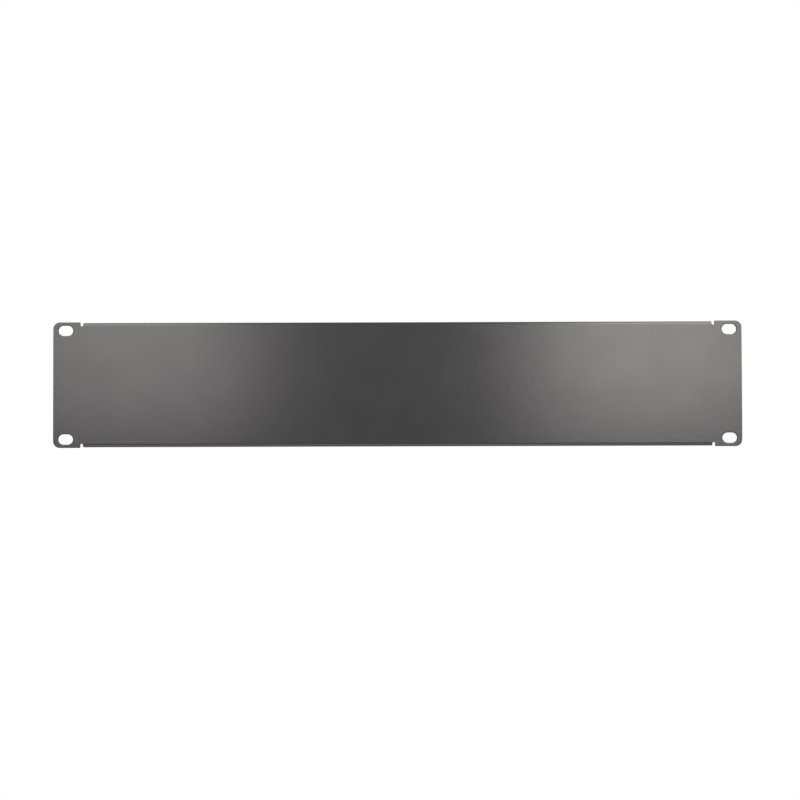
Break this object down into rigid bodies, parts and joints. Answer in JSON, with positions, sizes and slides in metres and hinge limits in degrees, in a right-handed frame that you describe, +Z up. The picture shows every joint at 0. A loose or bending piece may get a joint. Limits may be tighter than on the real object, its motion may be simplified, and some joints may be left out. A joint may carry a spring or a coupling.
{
  "type": "rack blanking panel",
  "caption": "Flat filler panel for an equipment rack, with slotted ears, and flanges folded back along its top and bottom between corner relief notches.",
  "frame": {"origin": "middle of the four slots, on the seating plane, which is the back of the ears", "axes": "+X along the panel to the right of someone facing the rack, +Y from the front into the rack, +Z up"},
  "size_m": [0.4826, 0.015, 0.0882],
  "materials": {
    "powder_coated_steel": "satin black powder coat with a fine, almost smooth texture, on folded sheet steel"
  },
  "bodies": {
    "root": {"blanking_panel": "powder_coated_steel"}
  },
  "joints": []
}
